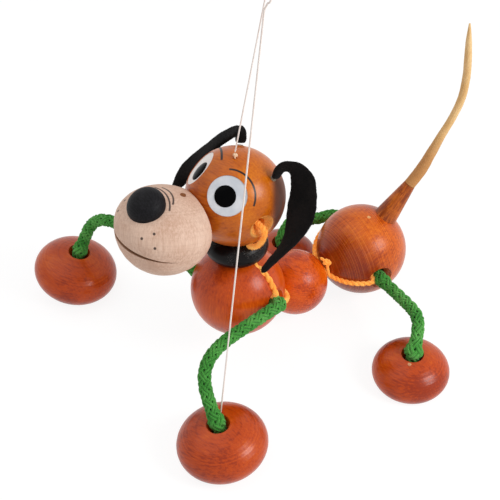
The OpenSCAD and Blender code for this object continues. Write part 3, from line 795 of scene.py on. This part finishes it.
HEAD_THREAD_START = HEAD + np.array((0, 0.2, HEAD_R + HEAD_KNOT_D + 0.1))
HEAD_THREAD_WAY, HEAD_THREAD_RISE = (0.102, 0.122, 1), 92
FOOT_THREAD_WAY, FOOT_THREAD_RISE = (0.051, 0.067, 1), 244
thread("thread_to_head", HEAD_THREAD_START, HEAD_THREAD_WAY, HEAD_THREAD_RISE,
       "head", "thread_head")
thread("thread_to_foot", thread_foot_start(), FOOT_THREAD_WAY, FOOT_THREAD_RISE,
       "foot_front_left", "thread_foot")


# Leg ropes

# Radius at the yarns' middle, how far they weave in and out, and the length of one full turn
BRAID_R, BRAID_WAVE, BRAID_PITCH = 2.62, 0.4, 25
# Strands each way round, and the radius, flattening, spacing and step of the yarns in them
CARRIERS, YARN_R, YARN_FLAT, YARN_LAY, YARN_STEP = 4, 0.72, 0.82, 0.92, 0.55
CORE_INSET = 0.35
# Loose fibres on each millimetre of rope
ROPE_FUZZ = 2.2

# The ball that each rope starts in, and the rope's route from the ball's middle
ROUTES = {
    "front_left": (CHEST, [(1, 0.4, 0.1), (21.2, 8.6, 2.8), (25.3, 9, 4.3), (28, 5.8, 6.6),
        (30, 0.5, 8.3), (32, -8, 9.3), (34.4, -21, 9.7), (35.7, -29.7, 9.1), (37.1, -36.5, 7.6),
        (39.4, -42.5, 5.3), (42.9, -46.9, 1.9), (47.4, -49.4, -2.4), (52.1, -50.4, -7.3),
        (56.5, -50.6, -12.9), (59.9, -50.2, -18), (61.3, -49.5, -22.5), (61.5, -49.2, -27)]),
    "front_right": (CHEST, [(-1, -0.4, -0.1), (-22.1, -8.9, -2.9), (-27.7, -13, 0.1),
        (-33.4, -16.9, 3), (-45.4, -24.3, 8.3), (-58.5, -31, 11.7), (-65.4, -34, 11.9),
        (-72.2, -36.7, 10.7), (-78.4, -39.3, 7.9), (-83.1, -41.7, 3.2), (-85.7, -44.2, -2.9),
        (-86.3, -47.3, -9.8), (-85.7, -50.3, -14.3), (-85.5, -52.2, -19), (-85.9, -53.5, -25.2)]),
    "hind_left": (REAR, [(1, -0.2, 0), (23.6, -4.4, -0.8), (41.8, -5.3, 0.6), (50.8, -6.2, 2),
        (55.2, -6.9, 2.7), (59.6, -8.1, 3.1), (63.5, -10, 2.7), (66.9, -12.6, 1.5),
        (69.7, -15.3, -0.7), (71.8, -17.8, -3.8), (72.8, -19.3, -8), (72.9, -19.7, -15)]),
    "hind_right": (REAR, [(-1, 0.2, 0), (-23.6, 4.4, 0.8), (-28, 4.6, 0.8), (-31, 3, 0.4),
        (-32.6, -0.5, 0), (-33.4, -5, 0.2), (-34.2, -10, 1.2), (-35.2, -15, 2.8), (-36, -19.5, 3.8),
        (-36.4, -23.5, 2.8), (-36.2, -26.6, 0), (-35.8, -28.5, -4), (-35.5, -29.2, -8.5),
        (-35.4, -29.2, -15)]),
}
# How much wider a rope bunches up at its ball and at its foot, and its stretch inside the foot
SWELLS = {
    "front_left": (0.3, 0.32, 11.6),
    "front_right": (0.3, 0.3, 11.2),
    "hind_left": (0.25, 0.5, 8.8),
    "hind_right": (0, 0.25, 8.8),
}
# Distance along a rope at which it leaves its ball
BALL_MOUTH = 25.8
# A place on each rope by its leg and one by its foot, from its ball's middle
BENDS = {
    "front_left": ((51, -50.2, -6.2), (60.4, -50, -19.5)),
    "front_right": ((-85.9, -44.6, -4), (-85.6, -51.4, -17)),
    "hind_left": ((68.2, -13.8, 0.8), (72.9, -19.5, -9)),
    "hind_right": ((-36.3, -22.5, 3.1), (-35.6, -29.1, -9.5)),
}


def braid(name):
    """Round braid of eight strands, two yarns each, over a core painted dark green as the shade
    between the strands, from ball to foot.
    """
    origin, route = ROUTES[name]
    line = smooth_line(np.array(route) + origin, 0.5)
    run = run_of(line)
    at_ball, at_foot, inside = SWELLS[name]
    swell = 1 + at_ball * np.exp(-(((run - BALL_MOUTH) / 2.4) ** 2))
    swell += at_foot * np.exp(-(((run - run[-1] + inside) / 3) ** 2))
    way, side, up = carried(line, (0, 0.1, 1))
    skin = Skin()
    skin.tube(line[::3], (BRAID_R - CORE_INSET) * swell[::3], 12, part=1)
    slant = math.atan2(2 * math.pi * BRAID_R, BRAID_PITCH)
    spots = np.arange(0.4, run[-1] - 0.4, YARN_STEP)
    for hand in (1, -1):
        for carrier in range(CARRIERS):
            for lay in (-0.5, 0.5):
                shift = lay * 2 * YARN_R * YARN_LAY
                here = spots - shift * math.sin(slant)
                spin = hand * (2 * math.pi * spots / BRAID_PITCH) + carrier * 2 * math.pi / CARRIERS
                spin = spin + hand * shift * math.cos(slant) / BRAID_R
                wave = hand * np.cos(CARRIERS * 2 * math.pi * spots / BRAID_PITCH)
                size = np.interp(here, run, swell)
                mid, across, over = (
                    np.column_stack([np.interp(here, run, column) for column in rows.T])
                    for rows in (line, side, up)
                )
                out = across * np.cos(spin)[:, None] + over * np.sin(spin)[:, None]
                yarn = mid + out * (size * (BRAID_R + BRAID_WAVE * wave))[:, None]
                skin.tube(yarn, YARN_R * size, 6, flat=YARN_FLAT, out=out)
    fibres(skin, line, BRAID_R + 0.7, int(run[-1] * ROPE_FUZZ), 1.5, 11 + len(name), 0.035)
    yarns = GREEN_YARN, SHADED_CORE_YARN
    made = skin.piece("braid_" + name, yarns, None, "rope_" + name)
    start, end = (tuple((origin + np.array(p)) * MM) for p in BENDS[name])
    "leg_" + name
    "foot_" + name
    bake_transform(made)


for leg in ROUTES:
    braid(leg)


# Orange cords and knots

# Angle from a leg hole's middle to the cord that goes in beside the rope, in degrees
ARC_START = math.degrees(math.asin((ROPE_R + 0.4 + CORD_R + 0.3) / (CHEST_R + CORD_R)))


def twisted(skin, line, radius, pitch):
    """Two strands laid round each other along a line."""
    way, side, up = carried(line, (0.2, 0.3, 1))
    spin = run_of(line) / pitch * 2 * math.pi
    for k in (0, 1):
        turn = (spin + math.pi * k)[:, None]
        strand = line + 0.46 * radius * (side * np.cos(turn) + up * np.sin(turn))
        skin.tube(strand, radius * 0.68, 8)


def over_ball(centre, along, beside, radius, dip, proud=0.0):
    """An arc over a ball. Its ends stand proud of it, then dip into the ball's leg hole."""
    x = unit(along)
    y = square_to(beside, x)
    arc = []
    for angle in np.linspace(ARC_START, 180 - ARC_START, 32):
        a = math.radians(angle)
        near = min(1, max(0, (50 - min(angle, 180 - angle)) / 12))
        arc.append((radius + proud * near) * (math.cos(a) * x + math.sin(a) * y))
    radius += proud
    ends = []
    for sign in (1, -1):
        start = math.radians(ARC_START)
        ends.append([
            (radius - drop) * (sign * math.cos(start - turn) * x + math.sin(start - turn) * y)
            for drop, turn in ((dip, 0.075), (dip * 0.45, 0.05), (dip * 0.1, 0.02))
        ])
    return np.array([*ends[0], *arc, *ends[1][::-1]]) + centre


def orange_cord(name, line, body, node, seed, fuzz=7.0, pitch=6.2, radius=CORD_R):
    """A twisted cord; fuzz is how many loose fibres each millimetre of it has."""
    line = smooth_line(line, 0.6)
    skin = Skin()
    twisted(skin, line, radius, pitch)
    fibres(skin, line, CORD_R, int(run_of(line)[-1] * fuzz), 1.4, seed, 0.045)
    return skin.piece(name, (ORANGE_YARN,), body, node)


BAIL_R = CHEST_R + BALL_GAP + CORD_R
# How much closer to its ball the rear bail lies than the front one
BAIL_DRAWN_IN = 0.7
# How far each cord's ends reach down into its ball's leg hole
CHEST_DIP, BAIL_DIP = 4, 5
LINK_REACH = 15.6
chest_arch = over_ball(
    CHEST, FRONT_AXLE, NECK_WAY, CHEST_R - CORD_R + 0.2, CHEST_DIP, proud=CORD_R
)
orange_cord("chest_arch", chest_arch, "chest", "chest_cord", 3, fuzz=9.0, pitch=8.0, radius=1.5)
front_bail = over_ball(CHEST, FRONT_AXLE, MID_WAY, BAIL_R, BAIL_DIP)
orange_cord("back_bail_front", front_bail, "back", "back_cord_front", 4)
rear_bail = over_ball(REAR, REAR_AXLE, REAR_BAIL_WAY, BAIL_R - BAIL_DRAWN_IN, BAIL_DIP)
orange_cord("back_bail_rear", rear_bail, "back", "back_cord_rear", 5)
link = [MID - reach * MID_WAY for reach in (LINK_REACH, 8, 1.5)]
link += [MID + reach * REAR_WAY for reach in (1.5, 8, LINK_REACH)]
orange_cord("back_strand", link, "back", "back_link", 6)

NECK_ROUTE = [(2.4, 0, -33), (2.6, 0, -30), (4.2, 0, -27.9), (6.4, 0, -26.7), (9.8, 0, -25.3),
    (14.2, 0, -23.2), (18.7, 0, -19.9), (22.7, 0, -15.1), (25.2, 0, -11), (26.4, 0, -8),
    (26.8, 0, -5.9), (26, 0, -4.6), (24.3, 0, -4.1), (22, 0, -4.1), (14, 0, -4.1)]
neck_loop = np.array([*NECK_ROUTE, *((-x, y, z) for x, y, z in reversed(NECK_ROUTE))])
neck_cord = orange_cord(
    "neck_loop", neck_loop @ NECK.T + HEAD, None, "neck_cord", 7, fuzz=24.0, pitch=4.6
)
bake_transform(neck_cord)


def knot(name, node, centre, size, radius, finish, body, seed, tails):
    """A small lump of a knot: one strand round itself, with frayed tails."""
    turn = np.linspace(0, 2 * math.pi, 60, endpoint=False)
    lobes = np.column_stack((
        np.sin(turn) + 2 * np.sin(2 * turn),
        np.cos(turn) - 2 * np.cos(2 * turn),
        -1.1 * np.sin(3 * turn),
    )) / 3
    skin = Skin()
    twisted(skin, centre + lobes * size, radius, 3.0)
    for tail in tails:
        line = smooth_line([centre, *(centre + np.array(t) for t in tail)], 0.4)
        twisted(skin, line, radius * 0.85, 3.0)
        fibres(skin, line[len(line) // 3:], radius * 0.6, 26, 1.3, seed + 1, 0.035)
    fibres(skin, centre + lobes * size, radius, 60, 1.2, seed, 0.035)
    return skin.piece(name, (finish,), body, node)


# Finishes of the turned pieces

HEAD_TONES = seen(0.63, 0.27, 0.01), seen(0.77, 0.38, 0.02), seen(0.85, 0.47, 0.05)
CHEST_TONES = seen(0.68, 0.21, 0.01), seen(0.81, 0.3, 0.02), seen(0.9, 0.39, 0.04)
MID_TONES = seen(0.7, 0.22, 0.01), seen(0.88, 0.35, 0.02), seen(0.96, 0.46, 0.05)
REAR_TONES = seen(0.66, 0.24, 0.02), seen(0.84, 0.38, 0.04), seen(0.93, 0.5, 0.1)
CONE_TONES = seen(0.54, 0.23, 0.04), seen(0.78, 0.4, 0.1), seen(0.9, 0.54, 0.18)
FOOT_TONES = seen(0.6, 0.18, 0.01), seen(0.75, 0.27, 0.02), seen(0.82, 0.35, 0.05)
CROSSWISE = np.array((0.9, 0.3, 0.2))

FINISHES = {
    "chest_ball": turned_wood("chest_wood", CHEST, FRONT_AXLE, NECK_WAY, CHEST_TONES, rings=0.25),
    "mid_ball": turned_wood(
        "mid_wood", MID, (0.1, 0.2, 1), CROSSWISE, MID_TONES,
        rings=0.35, gloss=0.2, pore=0.06, ripple=0.14,
    ),
    "rear_ball": turned_wood(
        "rear_wood", REAR, REAR_WAY, (0.2, 1, 0.6), REAR_TONES, rings=0.9, paint=paint_rear
    ),
    "head_ball": turned_wood(
        "head_wood", HEAD, NECK_WAY, CROSSWISE, HEAD_TONES, rings=0.2, paint=paint_head
    ),
    "tail_cone": turned_wood(
        "cone_wood", REAR, TAIL_WAY, TAIL_WAY, CONE_TONES, rings=0.2, gloss=0.36
    ),
    "muzzle": muzzle_beech(),
    "nose": black_stain(),
    "collar": collar_black(),
    "muzzle_pin": small_wood(
        "pin_wood", seen(0.4, 0.2, 0.08), seen(0.6, 0.36, 0.18), MUZZLE_AXES[2]
    ),
    "rear_plug": small_wood("plug_wood", seen(0.85, 0.55, 0.3), seen(0.96, 0.76, 0.52)),
}
peg_wood = small_wood("peg_wood", seen(0.42, 0.38, 0.32), seen(0.66, 0.6, 0.52))
plug_wood = small_wood("foot_plug_wood", seen(0.78, 0.5, 0.34), seen(0.92, 0.72, 0.55))
# The far eye's white is painted paler than the near one's: painted light
EYE_WHITES = {
    "left": eye_white("eye_white", seen(0.8, 0.82, 0.85), seen(0.89, 0.895, 0.91)),
    "right": eye_white("far_eye_white_painted_light", seen(0.97, 0.93, 0.91), seen(1.0, 0.98, 0.96)),
}
black = pupil_black()
for hand in ("left", "right"):
    FINISHES["eye_" + hand] = EYE_WHITES[hand]
    FINISHES["pupil_" + hand] = black
    FINISHES["ear_peg_" + hand] = peg_wood
FINISHES["foot_plug"] = plug_wood
for foot_name in FOOT_PLACES:
    centre, turn, wide, rise = foot_frame(foot_name)
    FINISHES[foot_name] = turned_wood(
        foot_name + "_wood", centre, turn[:, 2], turn @ CROSSWISE, FOOT_TONES, rings=0.45
    )
for node_name, finish in FINISHES.items():
    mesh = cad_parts[node_name].data
    mesh.materials.clear()
    mesh.materials.append(finish.material)


def middle(node):
    """The middle of a node's box at rest."""
    low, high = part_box(node)
    return np.array((low + high) / 2) / MM


BACK_TAILS = ([(-2, -0.8, 0.6), (-4, -1.4, 0.9)], [(0.8, 0, -3.6), (1.6, 0.4, -8)])
HEAD_TAILS = ([(1.6, -1.2, -0.6)],)
knot("back_knot_lump", "back_knot", middle("back_knot"), 1.5, 0.95,
     ORANGE_YARN, "back", 21, BACK_TAILS)
knot("head_knot_lump", "head_knot", middle("head_knot") - (0, 0, 0.5), 0.8, 0.5,
     KNOT_YARN, "head", 22, HEAD_TAILS)


# Felt ears

EAR_THICK = 3
TIP_ROUND = 2.4
EAR_SIDES = 28
EAR_HAIRS = 420
# Place on the leaf's middle line from the head's middle, half width, and direction of the width
NEAR_EAR = [((16, 13.4, 17.8), 2.5, (0.2, -0.9, 0.4)), ((16.4, 14, 19.6), 2.9, (0.2, -0.9, 0.4)),
    ((17, 15, 22.2), 3.4, (0, -0.9, 0.5)), ((19.3, 17.3, 24.6), 4.1, (0, -0.5, 0.9)),
    ((23.2, 20, 24), 5.1, (0.4, 0.3, 0.9)), ((26.7, 21.5, 20.1), 6.2, (0.6, 0.6, 0.5)),
    ((29.3, 20.7, 14.4), 6.9, (0.8, 0.5, 0.2)), ((31.7, 18.4, 8.6), 7.4, (0.8, 0.5, 0.1)),
    ((34.4, 15.2, 3.5), 7.4, (0.9, 0.4, 0.15)), ((36.7, 11.1, -0.9), 6.6, (0.9, 0.2, 0.3)),
    ((38.6, 6.1, -4.6), 5.4, (0.9, 0, 0.4)), ((39.7, 0.4, -7.6), 4.1, (0.9, -0.1, 0.5)),
    ((40.4, -5.5, -10.5), 2.7, (0.9, -0.1, 0.4)), ((41.1, -11.2, -13.7), 1.1, (0.9, -0.1, 0.4))]
FAR_EAR = [((16, 13.4, 17.8), 2.5, (-0.2, 0.9, -0.4)), ((16.4, 14, 19.6), 2.9, (-0.2, 0.9, -0.4)),
    ((17.6, 14.6, 21.2), 3.2, (0, 0.9, -0.2)), ((20.6, 15.4, 20.4), 3.5, (0.1, 0.9, 0.3)),
    ((25, 15.6, 17), 4.2, (0.6, 0.7, 0)), ((29, 15, 13.2), 5, (0.8, 0.5, -0.2)),
    ((32.2, 13, 9.4), 5.8, (0.8, 0.5, -0.2)), ((34.8, 10.6, 5.6), 6.6, (0.8, 0.5, -0.2)),
    ((37, 7.6, 1.4), 7.2, (0.8, 0.5, -0.2)), ((38.8, 4.2, -2.6), 7.4, (0.8, 0.4, -0.2)),
    ((40.2, 0.6, -6.6), 6.8, (0.8, 0.3, -0.1)), ((41, -3.2, -10.4), 5.6, (0.9, 0.2, 0.1)),
    ((41.4, -6.8, -14.4), 4.2, (0.9, 0, 0.2)), ((41.6, -10.4, -19), 2.7, (0.9, 0, 0.2)),
    ((41.6, -14, -24), 1.1, (0.9, 0, 0.2))]


def ear(hand, side, leaf):
    """A leaf of thick felt that folds over at its root and hangs to a point."""
    mirror = np.array((side, 1, 1))
    rows = np.array([(*np.array(p) * mirror, w, *unit(s) * mirror) for p, w, s in leaf])
    rows = smooth_line(rows, 0.9)
    line, half, spread = rows[:, :3], rows[:, 3], rows[:, 4:]
    way = np.gradient(line, axis=0)
    draw = random.Random(31 + side)
    turn = np.linspace(0, 2 * math.pi, EAR_SIDES, endpoint=False)
    rings = []
    left_over = run_of(line)[-1] - run_of(line)
    for i, place in enumerate(line):
        across = square_to(spread[i], way[i])
        over = np.cross(unit(way[i]), across)
        rounded = math.sqrt(1 - (1 - min(1, left_over[i] / TIP_ROUND)) ** 2 * 0.96)
        wide = (half[i] + 0.1 * math.sin(i * 0.9) + draw.uniform(-0.07, 0.07)) * rounded
        c, d = np.cos(turn), np.sin(turn)
        x = np.sign(c) * np.abs(c) ** 0.72 * wide
        y = np.sign(d) * np.abs(d) ** 0.6 * EAR_THICK / 2 * (1 - 0.1 * np.abs(c)) * rounded
        y = y + np.array([draw.uniform(-0.06, 0.06) for _ in turn])
        rings.append(place + x[:, None] * across + y[:, None] * over)
    rings = np.array(rings) + HEAD
    if side == RIGHT:
        rings = rings[:, ::-1]
    skin = Skin()
    skin.rings(rings)
    for _ in range(EAR_HAIRS):
        i, j = draw.randrange(1, len(rings) - 1), draw.randrange(EAR_SIDES)
        spot = rings[i, j]
        stray = np.array([draw.uniform(-0.8, 0.8) for _ in range(3)])
        out = unit(spot - rings[i].mean(axis=0) + stray)
        hair = np.array([spot, spot + out * 0.35, spot + out * 0.6 + unit(way[i]) * 0.3])
        skin.tube(hair, (0.035, 0.03, 0.01), 3, out)
    made = skin.piece("felt_ear_" + hand, (FELT,), None, "ear_" + hand)
    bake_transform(made)


ear("left", LEFT, NEAR_EAR)
ear("right", RIGHT, FAR_EAR)


# Tail whip

# Place from the rear ball's middle, and radius
WHIP_LINE = [(*(TAIL_WAY * 47.5), 3.2), (6.9, 32.3, 48.8, 3.2), (7.8, 36.6, 57.7, 2.8),
    (8.8, 41.5, 68.4, 2.3), (10, 47, 79.7, 2.1), (10.8, 50.7, 91.2, 2.1), (11, 51.7, 103.1, 2.1),
    (10.9, 51.2, 115.2, 2), (10.7, 50.2, 127, 1.6), (10.5, 49.4, 137.4, 0.5)]
WHIP_SIDES = 18


def whip():
    """A tapered whip cut by hand, so its edges wander a little."""
    rows = smooth_line(WHIP_LINE, 0.7)
    line, radius = rows[:, :3] + REAR, rows[:, 3]
    way, side, up = carried(line, (1, 0, 0))
    draw = random.Random(41)
    turn = np.linspace(0, 2 * math.pi, WHIP_SIDES, endpoint=False)
    rings, drift = [], np.zeros(WHIP_SIDES)
    for i, place in enumerate(line):
        drift = drift * 0.86 + np.array([draw.uniform(-0.035, 0.035) for _ in turn])
        smooth = sum(np.roll(drift, shift) for shift in (0, 1, -1, 2, -2)) / 5
        size = radius[i] * (1 + smooth + 0.03 * np.cos(2 * turn + i * 0.05))
        around = np.cos(turn)[:, None] * side[i] + np.sin(turn)[:, None] * up[i]
        rings.append(place + size[:, None] * around)
    skin = Skin()
    skin.rings(rings)
    skin.piece("tail_lash", (tail_hide(),), "rear", "tail_whip")


whip()
